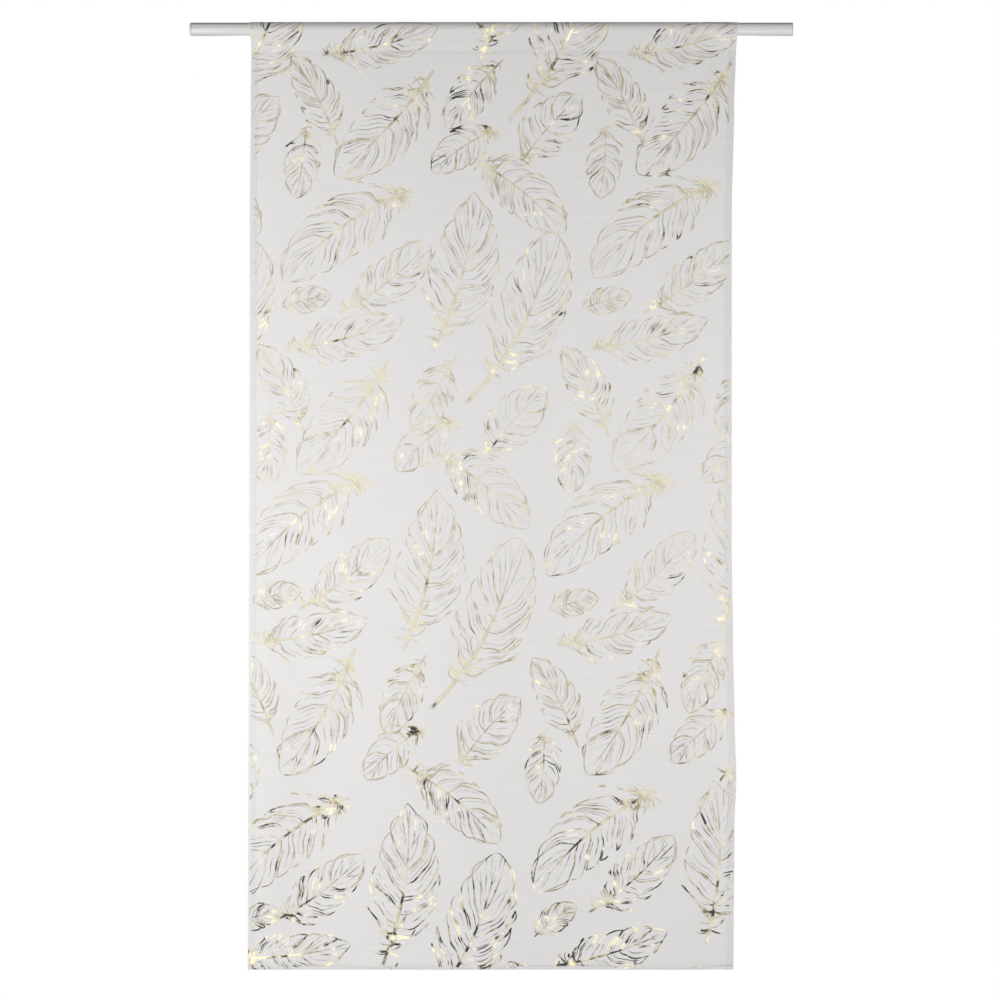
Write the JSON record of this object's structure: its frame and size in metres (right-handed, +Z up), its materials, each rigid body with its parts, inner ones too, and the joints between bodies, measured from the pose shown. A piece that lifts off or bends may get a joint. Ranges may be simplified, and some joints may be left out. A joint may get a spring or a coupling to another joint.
{
  "type": "sheer curtain on rod",
  "caption": "Sheer printed curtain panel hanging flat from a round metal rod that runs through a pocket sewn in its top.",
  "frame": {"origin": "on the rod's axis at the middle of the rod's length", "axes": "+X along the rod to the viewer's right, -Y the face of the curtain, +Z up"},
  "size_m": [1.274, 0.0326, 2.0023],
  "materials": {
    "voile": "sheer light grey-white voile with a thin gold foil feather print",
    "foil_print": "thin hot-stamped gold foil lines on the cloth's face",
    "rod": "satin, drawn lengthwise",
    "plug": "grey moulded plastic, satin"
  },
  "bodies": {
    "root": {"curtain_panel": "voile", "rod_pocket": "voile", "rod_tube": "rod", "end_plug_left": "plug", "end_plug_right": "plug"}
  },
  "joints": []
}
